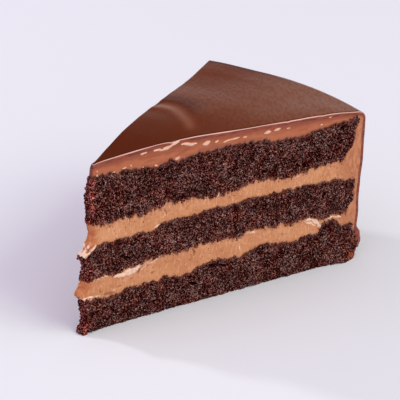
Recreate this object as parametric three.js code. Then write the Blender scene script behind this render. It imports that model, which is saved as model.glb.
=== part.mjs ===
// A slice of three-layer chocolate cake: chocolate sponges, two buttercream fillings, an icing
// coat over the top and down the rim, and a thin chocolate glaze over that.
// Millimetres, +Z up. The pointed tip is at -X, the rim at +X, the cut faces at -Y and +Y.
// The origin is on the surface that the slice stands on, under the middle of its box.
import * as THREE from 'three';
import { mergeVertices } from 'three/addons/utils/BufferGeometryUtils.js';

// The whole cake, and the two cuts that free the slice.
const CAKE_RADIUS = 115;            // to the outside of the glaze
const CAKE_HEIGHT = 64;
const SLICES_IN_CAKE = 10;
const HALF_ANGLE = Math.PI / SLICES_IN_CAKE;
const AXIS_X = -56.3;               // where the cake's own axis stands, in the part's frame
const TIP_HALF_WIDTH = 1.6;         // the cuts miss each other by this, so the tip is blunt
const TIP_REACH = 14;               // how far from the axis the tip still leans
const FAR_CUT_LEAN = 1.5;           // the far cut leans in by this at the top, end to end
const FAR_CUT_BOW = 1.1;            // and by this more halfway along it

// Clearances, coats and surface relief.
const GAP = 0.3;                    // between one layer and the next
const SPONGE_RELIEF = 0.6;          // how far crumbs stand out of a cut, or are torn from it
const CREAM_RELIEF = 0.16;          // the same for buttercream, which the knife leaves smooth
const GLAZE_ON_TOP = 1.5;
const GLAZE_ON_RIM = 1.1;
const LIP_DROP = 0.45;              // the glaze rounds over at a cut
const LIP_WIDTH = 0.02;             // within this share of the slice's width
const SHOULDER_RADIUS = 3;          // the rounded edge between top and rim
const ICING_FOOT = 0.4;             // the icing ends just above the surface below
const GLAZE_FOOT = 3;               // and the glaze above that, in a ragged line
const GLAZE_FOOT_WAVE = 0.9;

// Each spread surface, as [distance from the axis, height] along the near cut. It meets the
// coat at the height given as rim. Across the slice the same waves drift towards the axis.
const WAVE_DRIFT = 6;
const RIM_BLEND = [102, 109];       // between these distances a surface settles to its rim
const FLOOR = { rim: 0, outline: [[0, 0], [CAKE_RADIUS, 0]] };
const SPONGE_1_TOP = {
  rim: 14.5,
  outline: [[0, 12.3], [10, 11.3], [25, 12.6], [38, 11.7], [50, 14.4], [63, 13.4], [73, 15.5],
    [89, 13.5], [95, 14.2], [103, 17.2], [110, 16]],
};
const SPONGE_2_BOTTOM = {
  rim: 19.7,
  outline: [[0, 19.3], [12, 19.7], [34, 22.3], [42, 21.3], [50, 22.2], [58, 21.8], [67, 23],
    [80, 21.6], [96, 20.3], [106, 19.7]],
};
const SPONGE_2_TOP = {
  rim: 32.5,
  outline: [[0, 30.4], [10, 31.7], [32, 34], [54, 35], [72, 34.8], [90, 34.2], [108, 33.4]],
};
const SPONGE_3_BOTTOM = {
  rim: 41.5,
  outline: [[0, 40.4], [10, 39.4], [32, 41.6], [47, 39.4], [58, 40], [75, 42.2], [83, 39.9],
    [93, 40.8], [104, 41.6]],
};
const SPONGE_3_TOP = {
  rim: 55.4,
  outline: [[0, 57.9], [14, 57.4], [25, 56.3], [46, 57.5], [60, 57.1], [76, 55.1], [86, 54.3],
    [97, 55.6], [105, 56.2]],
};

// Where the sponges and fillings end and the coat begins, as [height, distance from the axis]:
// each sponge is narrower at its foot, and the coat fills the notch.
const STACK_EDGE = [[0, 110.8], [14.5, 112.4], [19.7, 109.2], [24.2, 112], [32.5, 112.4],
  [41.5, 106], [50, 111], [55.4, 112.2]];

// The outside of the glaze: its height by distance from the axis, and its radius by height.
const GLAZE_TOP = [[0, 62.8], [9, 63.2], [24, 64], [42, 63.8], [60, 63], [80, 61.9], [98, 60.8],
  [112, 58.8]];
const GLAZE_RIM = [[2, 114.2], [13, 114.5], [18, 114.9], [25, 114.3], [31, 114.5], [40, 115.2],
  [54, 115.3]];
const TOP_CROWN = 0.35;             // the top is fuller along the middle of the slice
const TOP_WAVE = 0.2;
const FAR_DROOP = 0.8;              // the top is lower by this at the far end of the rim
const RIM_WAVE = 0.2;
// It has run down and set in lumps at its foot, this proud of the rim at each height.
const FOOT_LUMP = [[2, 0], [4.4, 1.3], [6.2, 2.6], [9.6, 1.6], [13, 0]];

// How far the tip leans inwards at each height; below zero it bulges out past the axis.
const TIP_LEAN = [[0, -3.2], [6, -0.6], [12, -2.2], [15, -3.9], [20, -1.6], [25, -0.4],
  [30, -2], [36, 2.2], [42, 0.6], [51, 0.4], [57, 1.9], [60, 3.2], [64, 5.4]];

// Steps of the solids: along the slice, across it, and through a thickness. The coats run along
// the top from the tip, round the shoulder and down the rim.
const LONG_STEPS = 40;
const WIDE_STEPS = 4;
const SPONGE_STEPS = 5;
const CREAM_STEPS = 2;
const TOP_STEPS = 28;
const SHOULDER_STEPS = 4;
const ICING_WIDE_STEPS = 6;
const GLAZE_WIDE_STEPS = 10;
const GLAZE_SIDE_STEPS = 14;
const ICING_SIDE_STEPS = 2 * (STACK_EDGE.length - 1) - SHOULDER_STEPS / 2;
const ROUNDING = 0.001;             // shares this near to 0 or 1 are taken as 0 or 1

const { lerp, smoothstep } = THREE.MathUtils;

// A value read from a short outline, easing from one point to the next.
function eased(outline, at) {
  const next = outline.findIndex(([x]) => x > at);
  if (next < 0) return outline[outline.length - 1][1];
  if (next === 0) return outline[0][1];
  const [x0, y0] = outline[next - 1];
  const [x1, y1] = outline[next];
  return lerp(y0, y1, smoothstep(at, x0, x1));
}

// The same with straight stretches, for the edge that the coat and the layers share.
function straight(outline, at) {
  const next = Math.max(outline.findIndex(([x]) => x >= at), 1);
  const [x0, y0] = outline[next - 1];
  const [x1, y1] = outline[next];
  return lerp(y0, y1, (at - x0) / (x1 - x0));
}

// Height of a spread surface: across runs from 0 at the near cut to 1 at the far one.
function level(surface, reach, across) {
  const waves = eased(surface.outline, reach + WAVE_DRIFT * across);
  return lerp(waves, surface.rim, smoothstep(reach, ...RIM_BLEND));
}

function seededRandom(seed) {
  let state = seed;
  return () => {
    state = (Math.imul(state, 1664525) + 1013904223) >>> 0;
    return state / 2 ** 32;
  };
}

// From distance, share of the width and height to a point in the cake's round plan, with the
// blunt and leaning tip and the leaning far cut.
function inPlan({ reach, height }, across) {
  const side = 2 * across - 1;
  const angle = side * HALF_ANGLE;
  const halfWidth = reach * Math.sin(HALF_ANGLE);
  const blunt = Math.hypot(halfWidth, TIP_HALF_WIDTH) - halfWidth;
  const lean = eased(TIP_LEAN, height) * Math.max(0, 1 - reach / TIP_REACH) ** 2;
  const bow = FAR_CUT_BOW * Math.sin(Math.PI * reach / CAKE_RADIUS);
  const inset = (FAR_CUT_LEAN + bow) * (height / CAKE_HEIGHT) ** 3 * across;
  return new THREE.Vector3(reach * Math.cos(angle) + lean,
    reach * Math.sin(angle) + side * blunt - inset, height);
}

// A closed block of small faces, each of whose points is then put in place. Points on the cuts
// and on the tip are pushed in or out by up to the given relief.
function formedSolid([long, wide, high], relief, seed, place) {
  const block = new THREE.BoxGeometry(1, 1, 1, long, wide, high).translate(0.5, 0.5, 0.5);
  block.deleteAttribute('normal');
  block.deleteAttribute('uv');
  block.clearGroups();
  const solid = mergeVertices(block);
  const points = solid.attributes.position;
  const random = seededRandom(seed);
  for (let i = 0; i < points.count; i += 1) {
    const along = points.getX(i);
    const across = points.getY(i);
    const point = place(along, across, points.getZ(i));
    const push = relief * (2 * random() - 1);
    if (across < ROUNDING || across > 1 - ROUNDING) {
      point.x -= push * Math.sin(HALF_ANGLE);
      point.y += push * Math.cos(HALF_ANGLE) * Math.sign(across - 0.5);
    } else if (along < ROUNDING) {
      point.x -= push;
    }
    points.setXYZ(i, point.x, point.y, point.z);
  }
  solid.computeVertexNormals();
  return solid;
}

// A sponge or a filling, between two spread surfaces.
function layer(under, over, highSteps, relief, seed) {
  const gapUnder = under === FLOOR ? 0 : GAP / 2;
  return formedSolid([LONG_STEPS, WIDE_STEPS, highSteps], relief, seed, (along, across, up) => {
    const edge = straight(STACK_EDGE, lerp(under.rim, over.rim, up));
    const reach = along * (edge - GAP / 2);
    const low = level(under, reach, across) + gapUnder;
    const high = level(over, reach, across) - GAP / 2;
    return inPlan({ reach, height: lerp(low, high, up) }, across);
  });
}

// Radius of the glaze at a height, without the lumps at its foot.
function rimRadius(height, across) {
  return eased(GLAZE_RIM, height) + RIM_WAVE * Math.sin(9 * across + height / 14);
}

// How far the lumps stand out of the rim: they come and go around it.
function footLump(height, across) {
  return eased(FOOT_LUMP, height) * (0.65 + 0.35 * Math.cos(11 * across));
}

function topHeight(reach, across) {
  const wave = TOP_WAVE * Math.sin(reach / 11 + 4 * across);
  const droop = FAR_DROOP * across * smoothstep(reach, CAKE_RADIUS / 2, CAKE_RADIUS);
  return eased(GLAZE_TOP, reach) + TOP_CROWN * Math.sin(Math.PI * across) + wave - droop;
}

// A point at some depth inside the glaze's outer surface, at a station along it: over the top
// from the tip, round the shoulder, and down the rim to a foot.
function insideCoat(station, across, depth, sideSteps, foot) {
  const turn = CAKE_RADIUS - SHOULDER_RADIUS;
  const centre = topHeight(turn, across) - SHOULDER_RADIUS;
  if (station <= TOP_STEPS) {
    const reach = turn * station / TOP_STEPS;
    return { reach, height: topHeight(reach, across) - depth.top };
  }
  if (station <= TOP_STEPS + SHOULDER_STEPS) {
    const angle = (station - TOP_STEPS) / SHOULDER_STEPS * Math.PI / 2;
    return {
      reach: turn + (rimRadius(centre, across) - turn - depth.rim) * Math.sin(angle),
      height: centre + (SHOULDER_RADIUS - depth.top) * Math.cos(angle),
    };
  }
  const height = lerp(centre, foot, (station - TOP_STEPS - SHOULDER_STEPS) / sideSteps);
  return { reach: rimRadius(height, across) - depth.rim, height };
}

// A point of the icing's inside: on the top sponge, then down the edge of the stack, with a
// station at each of the edge's corners.
function onStack(station, across) {
  const cornerStation = TOP_STEPS + SHOULDER_STEPS / 2;
  const top = STACK_EDGE.length - 1;
  if (station <= cornerStation) {
    const share = station / cornerStation;
    const reach = STACK_EDGE[top][1] * share;
    return { reach: reach + GAP / 2 * share, height: level(SPONGE_3_TOP, reach, across) + GAP / 2 };
  }
  const down = (station - cornerStation) / 2;
  const [highZ, highR] = STACK_EDGE[top - Math.floor(down)];
  const [lowZ, lowR] = STACK_EDGE[Math.max(top - Math.floor(down) - 1, 0)];
  const share = down - Math.floor(down);
  return {
    reach: lerp(highR, lowR, share) + GAP / 2,
    height: Math.max(lerp(highZ, lowZ, share), ICING_FOOT),
  };
}

function between(inner, outer, share) {
  return {
    reach: lerp(inner.reach, outer.reach, share),
    height: lerp(inner.height, outer.height, share),
  };
}

function icing() {
  const long = TOP_STEPS + SHOULDER_STEPS + ICING_SIDE_STEPS;
  const depth = { top: GLAZE_ON_TOP + GAP, rim: GLAZE_ON_RIM + GAP };
  const steps = [long, ICING_WIDE_STEPS, CREAM_STEPS];
  return formedSolid(steps, CREAM_RELIEF, 71, (along, across, out) => {
    const station = Math.round(along * long);
    const outer = insideCoat(station, across, depth, ICING_SIDE_STEPS, ICING_FOOT);
    return inPlan(between(onStack(station, across), outer, out), across);
  });
}

// The glaze has a narrow strip at each cut, where its outer edge is rounded over.
function glaze() {
  const long = TOP_STEPS + SHOULDER_STEPS + GLAZE_SIDE_STEPS;
  const depth = { top: GLAZE_ON_TOP, rim: GLAZE_ON_RIM };
  const steps = [long, GLAZE_WIDE_STEPS, CREAM_STEPS];
  return formedSolid(steps, CREAM_RELIEF, 83, (along, strips, out) => {
    const station = Math.round(along * long);
    const strip = Math.round(strips * GLAZE_WIDE_STEPS);
    const atCut = strip === 0 || strip === GLAZE_WIDE_STEPS;
    const middle = lerp(LIP_WIDTH, 1 - LIP_WIDTH, (strip - 1) / (GLAZE_WIDE_STEPS - 2));
    const across = atCut ? strips : middle;
    const foot = GLAZE_FOOT + GLAZE_FOOT_WAVE * Math.sin(17 * across + 1);
    const inner = insideCoat(station, across, depth, GLAZE_SIDE_STEPS, foot);
    const outer = insideCoat(station, across, { top: 0, rim: 0 }, GLAZE_SIDE_STEPS, foot);
    const drop = atCut ? LIP_DROP : 0;
    if (station <= TOP_STEPS + SHOULDER_STEPS / 2) {
      outer.height -= drop;
    } else {
      outer.reach += footLump(outer.height, across) - drop;
    }
    return inPlan(between(inner, outer, out), across);
  });
}

const spongeCake = { color: '#4b2721', roughness: 0.95, metalness: 0 };
const buttercream = { color: '#c98e63', roughness: 0.5, metalness: 0 };
const milkIcing = { color: '#b26c48', roughness: 0.45, metalness: 0 };
const chocolateGlaze = { color: '#5e3222', roughness: 0.16, metalness: 0 };

const cake = new THREE.Group();
cake.position.x = AXIS_X;

function addPiece(name, geometry, finish) {
  const piece = new THREE.Mesh(geometry, new THREE.MeshStandardMaterial(finish));
  piece.name = name;
  cake.add(piece);
}

function addSponge(name, under, over, seed) {
  addPiece(name, layer(under, over, SPONGE_STEPS, SPONGE_RELIEF, seed), spongeCake);
}

function addFilling(name, under, over, seed) {
  addPiece(name, layer(under, over, CREAM_STEPS, CREAM_RELIEF, seed), buttercream);
}

addSponge('sponge_bottom', FLOOR, SPONGE_1_TOP, 11);
addFilling('filling_lower', SPONGE_1_TOP, SPONGE_2_BOTTOM, 23);
addSponge('sponge_middle', SPONGE_2_BOTTOM, SPONGE_2_TOP, 37);
addFilling('filling_upper', SPONGE_2_TOP, SPONGE_3_BOTTOM, 41);
addSponge('sponge_top', SPONGE_3_BOTTOM, SPONGE_3_TOP, 59);
addPiece('icing', icing(), milkIcing);
addPiece('glaze', glaze(), chocolateGlaze);

export default cake;
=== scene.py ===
"""A slice of three-layer chocolate cake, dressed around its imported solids.

Each layer and coat starts as a flat grid that is drawn out into a block, and each of the block's
points is then put where the cake's form says. Torn crumb, knife marks and smears are relief on
the cuts, and loose crumbs are scattered over them.

Lengths are in millimetres until a mesh is written, and the studio's are in metres. A point's reach
is its distance from the cake's own axis, towards the rim. Its share of the width, or how far
across it lies, goes from 0 on the near cut to 1 on the far one.
"""

import math

import bpy
import numpy as np
from mathutils import Matrix, Vector


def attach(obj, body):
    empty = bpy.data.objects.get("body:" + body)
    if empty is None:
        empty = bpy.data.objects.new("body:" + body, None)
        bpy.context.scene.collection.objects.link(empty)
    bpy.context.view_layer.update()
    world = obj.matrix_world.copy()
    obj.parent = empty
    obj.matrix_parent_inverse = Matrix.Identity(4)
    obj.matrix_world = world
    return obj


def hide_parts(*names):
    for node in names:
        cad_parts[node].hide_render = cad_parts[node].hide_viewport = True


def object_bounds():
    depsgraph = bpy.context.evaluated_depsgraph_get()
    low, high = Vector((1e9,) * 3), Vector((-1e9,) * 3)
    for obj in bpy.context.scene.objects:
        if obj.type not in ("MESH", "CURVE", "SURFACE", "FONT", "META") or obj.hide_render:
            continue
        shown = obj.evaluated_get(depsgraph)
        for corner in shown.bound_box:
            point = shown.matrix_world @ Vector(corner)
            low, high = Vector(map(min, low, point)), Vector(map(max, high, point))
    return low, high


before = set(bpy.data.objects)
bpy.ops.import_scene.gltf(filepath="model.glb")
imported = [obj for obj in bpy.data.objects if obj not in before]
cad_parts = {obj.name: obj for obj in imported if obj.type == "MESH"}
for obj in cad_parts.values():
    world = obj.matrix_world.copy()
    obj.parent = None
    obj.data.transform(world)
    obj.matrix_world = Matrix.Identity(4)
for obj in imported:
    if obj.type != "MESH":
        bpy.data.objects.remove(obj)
cad_box = [list(corner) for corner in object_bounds()]

MM = 0.001
BODY = "root"

# ---------------------------------------------------------------- the cake's form

CAKE_RADIUS = 115.0
CAKE_HEIGHT = 64.0
HALF_ANGLE = math.pi / 10
AXIS_X = -56.3  # where the cake's own axis stands
TIP_HALF_WIDTH = 1.6
COAT_TIP_HALF_WIDTH = 1.2
COAT_START = (55.5, 59.0)  # over these heights the tip narrows from the stack's to the coat's
TIP_REACH = 14.0  # how far the tip's lean is felt along the slice
# How far the far cut leans in at the top: [reach, inset].
FAR_CUT_INSET = [[0, 1.5], [30, 1.35], [50, 1.7], [62, 2.3], [75, 2.5], [92, 2.7], [106, 2.2],
                 [115, 1.6]]
GLAZE_ON_TOP = 1.5
GLAZE_ON_RIM = 1.1
SHOULDER_RADIUS = 3.5
ICING_FOOT = 0.4
THINNEST_COAT = 0.3
GLAZE_FOOT = 3.0
GLAZE_FOOT_WAVE = 0.9
WAVE_DRIFT = 6.0  # how far the layers' waves drift along from the near cut to the far one
RIM_BLEND = (102.0, 109.0)  # over these distances the waves ease into the height at the rim
SEAM_OVERLAP = 0.05  # neighbours reach this far into each other, so that no gap shows

# Spread surfaces: [reach, height] along the near cut, and the height at the rim.
FLOOR = {"rim": 0.0, "outline": [[0, 0], [CAKE_RADIUS, 0]], "salt": 0}
SPONGE_1_TOP = {
    "rim": 14.5,
    "outline": [[0, 13.7], [2.6, 12], [5, 11.4], [9, 11], [13.8, 11.6], [15.6, 12.6],
                [18.6, 12.7], [21.5, 11.9], [25.3, 13], [29, 11.6], [31.8, 13], [36, 11.5],
                [42.8, 11.6], [45, 13.1], [54.5, 14.4], [59.5, 12.5], [63, 13], [73, 15.5],
                [79, 14.1], [87, 12.9], [93.5, 14.4], [97.3, 13.6], [98.9, 17.2], [106, 19.2],
                [110, 18.6]],
    "salt": 1,
}
SPONGE_2_BOTTOM = {
    "rim": 19.7,
    "outline": [[0, 20.1], [6, 20.4], [10, 19.4], [15, 19.9], [34, 22.1], [37, 21.2],
                [42, 21.2], [50, 22.1], [56, 21.7], [60.5, 20.9], [67, 22.9], [80, 21.5],
                [84, 20.3], [88, 21], [93, 22], [96, 21.1], [98.5, 19.3], [104, 20.2], [107, 19.4]],
    "salt": 2,
}
SPONGE_2_TOP = {
    "rim": 32.5,
    "outline": [[0, 29.7], [2.2, 31.4], [3.6, 32.1], [7.5, 32.2], [9.3, 31.2], [12.3, 32.3],
                [15, 31.9], [25, 31.8], [27.5, 32.3], [30, 34.2], [40, 34], [54, 34.6],
                [57.5, 34], [71.5, 34.9], [74, 33.8], [77, 34.7], [96, 34.4], [102, 33.5],
                [107.5, 34.3], [110, 33.4]],
    "salt": 3,
}
SPONGE_3_BOTTOM = {
    "rim": 41.5,
    "outline": [[0, 40.4], [10, 39.3], [12.5, 40.1], [18, 39.7], [23.5, 38.9], [26.5, 40.6],
                [28.7, 39.9], [32.5, 41.5], [37, 39.7], [40, 40.2], [50, 39.4], [58, 38.9],
                [65, 40.7], [70.5, 41.6], [75, 40.1], [80, 39.5], [86, 40.1], [104, 41.3],
                [110, 40.2]],
    "salt": 4,
}
SPONGE_3_TOP = {
    "rim": 55.4,
    "outline": [[0, 57.9], [9, 57.5], [11.3, 56.5], [14, 57.4], [22, 56.8], [26, 55.2],
                [32.7, 57], [36, 56.1], [42, 57.2], [46, 56.7], [54, 57.2], [60, 57.1],
                [65, 56.9], [69, 56], [75, 55], [86, 54.2], [97, 55.3], [104.5, 55.9],
                [107.5, 57.6], [111, 57.4]],
    "salt": 5,
}
# Where the stack of layers ends and the coat begins: [height, reach].
STACK_EDGE = [[0, 110.8], [14.5, 112.4], [19.7, 109.2], [24.2, 112], [32.5, 112.4],
              [41.5, 106.4], [44.8, 109.6], [50, 111.2], [55.4, 112.2]]
STACK_TOP = STACK_EDGE[-1]
STACK_EDGE_SALT = 6
# How far the knife has pulled the bottom sponge's end out, and pushed it sideways.
FOOT_PULL = 4.2
FOOT_BULGE = 1.6
# The glaze's outside: [reach, height] over the top, and [height, reach] down the rim. Away from
# the near cut the top lies lower by the sag.
GLAZE_TOP = [[0, 62.4], [5, 62.8], [11, 63.2], [20, 63.75], [27, 64], [42, 63.8], [60, 62.6],
             [78, 61.6], [95, 60.65], [104, 59.85], [112, 58.65]]
FAR_SAG = [[20, 0], [27, 0], [42, 0.05], [60, 0.15], [78, 0.5], [95, 0.8], [104, 0.6], [112, 0]]
GLAZE_RIM = [[2, 114.3], [13, 114.7], [18, 115], [25, 114.6], [31, 114.8], [40, 115.4],
             [54, 115.5]]
LIP_DIPS = [[33.4, 1.6, 0.5], [81, 0.8, 0.2], [96.5, 1.2, 0.15]]  # reach, half width, depth
TOP_CROWN = 0.5
TOP_WAVE = 0.05
# The fold across the top, as [share of the width, reach].
FOLD_PATH = [[0, 42], [0.24, 44.2], [0.4, 47.4], [0.6, 51.3], [0.78, 55], [0.9, 56], [1, 55]]
FOLD_RISE = 0.2
FAR_DROOP = 0.35
FAR_CORNER_RISE = 0.7
RIM_WAVE = 0.2
# How far the glaze bulges at its foot, and how far the tip leans towards the rim, by height.
FOOT_LUMP = [[1.5, 0.4], [4.4, 1.9], [6.2, 2.6], [9.6, 1.8], [13, 0.2]]
TIP_LEAN = [[0, -2.2], [6, -0.4], [13, -1.6], [15.3, -3.9], [17.8, -1.8], [20, -1.2], [25, -0.2],
            [29.2, -2.2], [31.4, 0.2], [36, 2.3], [42, 0.8], [51, 0.4], [57, 0.8], [60, 0.9],
            [64, 2.2]]


def smooth(value, low=0.0, high=1.0):
    """Eases from 0 to 1 as a value goes from low to high."""
    share = np.clip((value - low) / (high - low), 0, 1)
    return share * share * (3 - 2 * share)


def hump(away, half):
    """From 1 in the middle of a rounded hump to nearly 0 at twice its half width."""
    return np.exp(-((away / half) ** 2))


def lerp(first, second, share):
    return first + (second - first) * share


def straight(outline, at):
    """A value read from a short outline of [place, value], along straight lines."""
    return np.interp(at, *np.asarray(outline, float).T)


def eased(outline, at, flow=0):
    """The same, eased from point to point: level at each one, or flowing through it."""
    places, values = np.asarray(outline, float).T
    slopes = flow * np.gradient(values, places)
    after = np.clip(np.searchsorted(places, at, side="right"), 1, len(places) - 1)
    before = after - 1
    gap = places[after] - places[before]
    share = np.clip((at - places[before]) / gap, 0, 1)
    start = values[before] + slopes[before] * gap * share * (1 - share) ** 2
    end = values[after] - slopes[after] * gap * (1 - share) * share**2
    return lerp(start, end, smooth(share))


def flowing(outline, at):
    """The same, along one smooth curve through the points."""
    return eased(outline, at, flow=1)


def level(surface, reach, across):
    """Height of a spread surface, with its edge torn where sponge and cream meet."""
    waves = eased(surface["outline"], reach + WAVE_DRIFT * across * smooth(reach, 1, 14))
    height = lerp(waves, surface["rim"], smooth(reach, *RIM_BLEND))
    if surface is FLOOR:
        return height
    return height + torn(reach, across, surface["salt"]) + tongue(surface, reach, across)


# An edge between sponge and cream strays by waves of these heights, lengths and salts.
TORN_WAVES = [(0.42, 0.75, 40), (0.3, 1.7, 50), (0.22, 4.0, 60)]
TORN_WIDTH = 60.0  # these waves lie as if the slice were this wide all along
# Edges where the knife has dragged cream up into the sponge in patches.
DRAGGED_UP = (SPONGE_2_BOTTOM["salt"], SPONGE_3_BOTTOM["salt"])


def torn(reach, across, salt):
    """How far an edge strays: crumbs on one side, cream on the other."""
    at = np.stack([reach, TORN_WIDTH * across, np.zeros_like(reach)], 1)
    edge = sum(rise * soft_noise(at, size, first + salt) for rise, size, first in TORN_WAVES)
    if salt in DRAGGED_UP:
        patch = smooth(soft_noise(at, 8.0, 70 + salt), -0.3, 0.3)
        edge += 0.95 * patch * smooth(soft_noise(at, 0.95, 80 + salt), 0.0, 0.5)
        edge += 0.3 * soft_noise(at, 0.5, 90 + salt)
    return edge


# Places on the near cut, and in reverse order on the far one, where the knife has dragged cream up
# or down across an edge: [reach, half width, height], by the salt of the edge.
TONGUES = {
    1: [[66.5, 1.0, -0.5]],
    2: [[46.5, 0.6, 0.8], [74.0, 0.7, 0.9]],
    4: [[19.2, 0.8, 0.6], [53.0, 0.7, 1.7], [56.3, 0.8, 0.6], [78.5, 0.9, 0.8], [88.0, 0.8, 0.7]],
}


def tongue(surface, reach, across):
    rise = np.zeros_like(reach)
    for place, half, height in TONGUES.get(surface["salt"], []):
        for side in (0, 1):
            middle = lerp(place, CAKE_RADIUS - 8 - place, side)
            near = np.abs(across - side) < 0.3
            rise += near * height * hump(reach - middle, half)
    return rise


def stack_edge(height, across):
    """Where the layers end: near a cut, the knife has pulled the bottom sponge out over its coat."""
    near_cut = 1 - smooth(np.minimum(across, 1 - across), 0.02, 0.08)
    pulled = FOOT_PULL * (1 - smooth(height, 6, 14)) * near_cut
    return straight(STACK_EDGE, height) + torn(height, across, STACK_EDGE_SALT) + pulled


def in_plan(reach, height, across):
    """From distance, height and share of the width to a point, as an array of rows."""
    side = 2 * across - 1
    angle = side * HALF_ANGLE
    half_width = reach * math.sin(HALF_ANGLE)
    tip = lerp(TIP_HALF_WIDTH, COAT_TIP_HALF_WIDTH, smooth(height, *COAT_START))
    blunt = np.hypot(half_width, tip) - half_width
    lean = eased(TIP_LEAN, height) * np.maximum(0, 1 - reach / TIP_REACH) ** 2
    inset = flowing(FAR_CUT_INSET, reach) * (height / CAKE_HEIGHT) ** 3 * across
    x = reach * np.cos(angle) + lean + AXIS_X
    y = reach * np.sin(angle) + side * blunt - inset
    return np.stack([x, y, height], 1)


def slice_width(reach, tip=TIP_HALF_WIDTH):
    return 2 * np.hypot(reach * math.sin(HALF_ANGLE), tip)


def rim_radius(height, across):
    return eased(GLAZE_RIM, height) + RIM_WAVE * np.sin(9 * across + height / 14)


def foot_lump(height, across):
    along = 0.65 + 0.35 * np.cos(11 * across) + 0.3 * np.exp(-across / 0.06)
    return eased(FOOT_LUMP, height) * along


def top_height(reach, across):
    """The glaze's top: a full crown, and a soft fold that the palette knife left across it."""
    wave = TOP_WAVE * np.sin(reach / 17 + 4 * across)
    droop = FAR_DROOP * across * smooth(reach, CAKE_RADIUS / 2, CAKE_RADIUS)
    droop -= FAR_CORNER_RISE * smooth(across, 0.7, 1) * smooth(reach, 76, 108)
    from_fold = reach - flowing(FOLD_PATH, across)
    behind_fold = smooth(from_fold, 1.5, 8) * (1 - smooth(from_fold, 10, 40))
    fold = FOLD_RISE * smooth(across, 0.1, 0.5) * (hump(from_fold + 2.2, 3.0) + 1.8 * behind_fold)
    dips = sum(depth * hump(reach - place, half) for place, half, depth in LIP_DIPS)
    wave -= dips * np.exp(-across / 0.02)
    sag = flowing(FAR_SAG, reach) * smooth(across, 0.03, 0.35)
    crown = TOP_CROWN * np.sin(math.pi * across) * smooth(reach, 5, 60)
    return flowing(GLAZE_TOP, reach) - sag + crown + wave - droop + fold


TURN = CAKE_RADIUS - SHOULDER_RADIUS
SHOULDER_ARC = SHOULDER_RADIUS * math.pi / 2
CORNER_RUN = TURN + SHOULDER_ARC / 2
FULL_RUN = TURN + SHOULDER_ARC + CAKE_HEIGHT - SHOULDER_RADIUS


def inside_coat(run, across, top_depth, rim_depth, foot):
    """A point under the glaze's outside: run goes over the top, round the shoulder and down."""
    centre = top_height(np.full_like(run, TURN), across) - SHOULDER_RADIUS
    on_top = np.minimum(run, TURN)
    angle = np.clip((run - TURN) / SHOULDER_RADIUS, 0, math.pi / 2)
    down = np.clip((run - TURN - SHOULDER_ARC) / (FULL_RUN - TURN - SHOULDER_ARC), 0, 1)
    low = lerp(centre, foot, down)
    bend = (rim_radius(centre, across) - TURN - rim_depth) * np.sin(angle)
    curved = centre + (SHOULDER_RADIUS - top_depth) * np.cos(angle)
    reach = np.where(down > 0, rim_radius(low, across) - rim_depth, on_top + bend)
    height = np.where(run <= TURN, top_height(on_top, across) - top_depth,
                      np.where(down > 0, low, curved))
    return reach, height


def on_stack(run, across):
    """A point of the icing's inside: along the top sponge, then down the edge of the stack."""
    share = np.clip(run / CORNER_RUN, 0, 1)
    reach = STACK_TOP[1] * share
    high = level(SPONGE_3_TOP, reach, across) - SEAM_OVERLAP
    down = np.clip((run - CORNER_RUN) / (FULL_RUN - CORNER_RUN), 0, 1)
    low = lerp(STACK_TOP[0], ICING_FOOT, down)
    beside = lerp(STACK_TOP[1], stack_edge(low, across), smooth(down, 0, 0.03))
    beside = np.minimum(beside, rim_radius(low, across) - GLAZE_ON_RIM - THINNEST_COAT)
    on_side = run > CORNER_RUN
    return np.where(on_side, beside - SEAM_OVERLAP, reach), np.where(on_side, low, high)


# Each layer's piece, the node that it replaces, the surfaces under and over it, and its salt.
SPONGES = [
    ("bottom_sponge", "sponge_bottom", FLOOR, SPONGE_1_TOP, 100),
    ("middle_sponge", "sponge_middle", SPONGE_2_BOTTOM, SPONGE_2_TOP, 140),
    ("top_sponge", "sponge_top", SPONGE_3_BOTTOM, SPONGE_3_TOP, 180),
]
FILLINGS = [
    ("lower_buttercream", "filling_lower", SPONGE_1_TOP, SPONGE_2_BOTTOM, 220),
    ("upper_buttercream", "filling_upper", SPONGE_2_TOP, SPONGE_3_BOTTOM, 260),
]


# ---------------------------------------------------------------- noise

HASH_STEPS = np.array([0x9E3779B1, 0x85EBCA77, 0xC2B2AE3D], np.uint32)


def scrambled(cells, salt):
    """A number from 0 to 1 for each row of whole numbers: always the same one for a salt."""
    mixed = (cells.astype(np.int64).astype(np.uint32) * HASH_STEPS).sum(-1, dtype=np.uint32)
    mixed = mixed + np.uint32(salt * 40503 + 77)
    for shift, factor in ((16, 0x7FEB352D), (15, 0x846CA68B)):
        mixed = (mixed ^ (mixed >> np.uint32(shift))) * np.uint32(factor)
    return (mixed ^ (mixed >> np.uint32(16))) / 2.0**32


def soft_noise(points, size, salt):
    """Smooth noise from -1 to 1, with waves about as long as the given size."""
    scaled = points / size
    cell = np.floor(scaled)
    part = smooth(scaled - cell)
    total = np.zeros(len(points))
    for corner in np.ndindex(2, 2, 2):
        weight = np.prod(np.where(corner, part, 1 - part), axis=1)
        total += weight * scrambled(cell + corner, salt)
    return 2 * total - 1


def nearest_grain(points, size, salt):
    """Distance to the nearest of evenly strewn grains, in grain sizes, and its own number."""
    scaled = points / size
    cell = np.floor(scaled)
    best = np.full(len(points), 9.0)
    number = np.zeros(len(points))
    for step in np.ndindex(3, 3, 3):
        there = cell + np.array(step) - 1
        centre = there + np.stack([scrambled(there, salt + k) for k in range(3)], 1)
        distance = np.linalg.norm(scaled - centre, axis=1)
        closer = distance < best
        best = np.where(closer, distance, best)
        number = np.where(closer, scrambled(there, salt + 3), number)
    return best, number


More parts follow.
